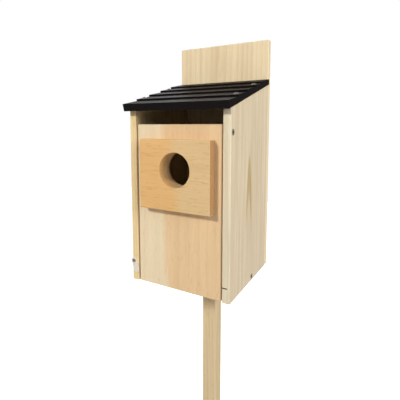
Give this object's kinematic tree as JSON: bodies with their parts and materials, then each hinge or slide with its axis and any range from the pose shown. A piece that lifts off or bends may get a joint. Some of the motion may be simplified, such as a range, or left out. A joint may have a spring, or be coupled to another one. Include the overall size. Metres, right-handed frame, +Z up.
{
  "type": "wooden birdhouse on a post",
  "caption": "Tall narrow pine nest box on a slim square post: thick plate round the entrance hole, black lapped lean-to roof, raised back board and a front that swings out at the bottom",
  "frame": {"origin": "centre of the post's foot, at ground level", "axes": "+Z up, -Y out of the front panel, +X to the right seen from the front"},
  "size_m": [0.13, 0.1344, 0.901],
  "materials": {
    "pine_side": "raw planed",
    "pine_rear": "raw planed",
    "pine_front": "raw planed",
    "pine_plate": "raw planed",
    "pine_post": "raw sawn",
    "black_paint": "satin black-brown paint",
    "zinc": "zinc plated",
    "dark_steel": "weathered"
  },
  "bodies": {
    "box": {"back_board": "pine_rear", "left_side": "pine_side", "right_side": "pine_side", "floor": "pine_rear", "roof_board": "black_paint", "roof_lap_1": "black_paint", "roof_lap_2": "black_paint", "roof_lap_3": "black_paint", "roof_lap_4": "black_paint", "roof_lap_5": "black_paint", "post": "pine_post", "pivot_screw_left": "dark_steel", "pivot_screw_right": "dark_steel", "floor_screw_left": "dark_steel", "floor_screw_right": "dark_steel", "roof_screw_front_left": "zinc", "roof_screw_front_right": "zinc", "roof_screw_rear_left": "zinc", "roof_screw_rear_right": "zinc", "back_screw_low_left": "zinc", "back_screw_low_right": "zinc", "back_screw_high_left": "zinc", "back_screw_high_right": "zinc", "post_screw": "zinc", "button_screw": "dark_steel"},
    "front": {"front_panel": "pine_front", "guard_plate": "pine_plate"},
    "button": {"turn_button": "zinc"}
  },
  "joints": [
    {"name": "front_swing", "type": "hinge", "parent": "box", "child": "front", "pos_m": [0, -0.0827, 0.788], "axis": [-1, 0, 0], "range_deg": [0, 95]},
    {"name": "button_turn", "type": "hinge", "parent": "box", "child": "button", "pos_m": [-0.0603, -0.0886, 0.634], "axis": [0, 1, 0], "range_deg": [-40, 90]}
  ]
}
